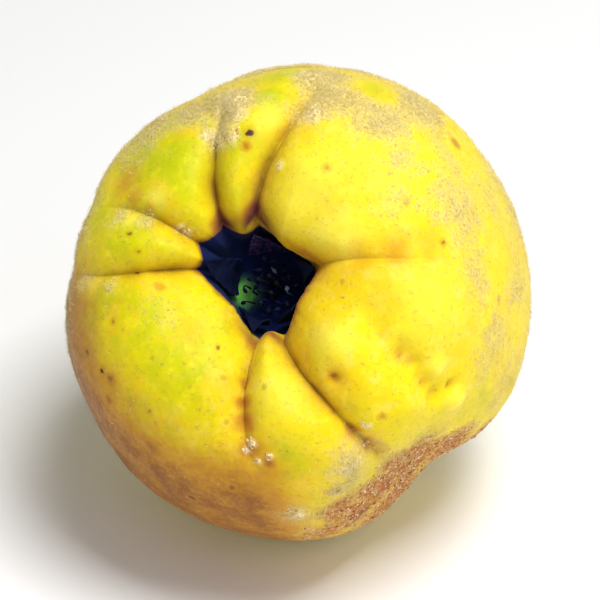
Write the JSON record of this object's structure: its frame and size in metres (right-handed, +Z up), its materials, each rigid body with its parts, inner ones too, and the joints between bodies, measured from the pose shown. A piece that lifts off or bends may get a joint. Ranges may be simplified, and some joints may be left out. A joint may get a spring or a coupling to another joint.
{
  "type": "quince",
  "caption": "Ripe yellow quince lying on its side on a small flat spot, folded into lobes round an open calyx with dried sepals and stamens, short woody stalk in the other cavity.",
  "frame": {"origin": "on the resting surface, under the middle of the fruit's box", "axes": "+Z up from the resting surface; the calyx faces -Y and up, turned a little towards -X"},
  "size_m": [0.0878, 0.094, 0.0921],
  "materials": {
    "skin": "waxy yellow skin with patches of grey-beige down, brown in the folds",
    "dried_sepal": "dried, brown-black, matte",
    "dried_thread": "dried filaments, dark brown, matte",
    "bark": "rough brown bark"
  },
  "bodies": {
    "root": {"fruit": "skin", "sepal_1": "dried_sepal", "sepal_2": "dried_sepal", "sepal_3": "dried_sepal", "sepal_4": "dried_sepal", "sepal_5": "dried_sepal", "stamen_01": "dried_thread", "stamen_02": "dried_thread", "stamen_03": "dried_thread", "stamen_04": "dried_thread", "stamen_05": "dried_thread", "stamen_06": "dried_thread", "stamen_07": "dried_thread", "stamen_08": "dried_thread", "stamen_09": "dried_thread", "stamen_10": "dried_thread", "stamen_11": "dried_thread", "stamen_12": "dried_thread", "stamen_13": "dried_thread", "stamen_14": "dried_thread", "stamen_15": "dried_thread", "stamen_16": "dried_thread", "stamen_17": "dried_thread", "stamen_18": "dried_thread", "stamen_19": "dried_thread", "stamen_20": "dried_thread", "style_1": "dried_thread", "style_2": "dried_thread", "style_3": "dried_thread", "style_4": "dried_thread", "style_5": "dried_thread", "stalk": "bark"}
  },
  "joints": []
}
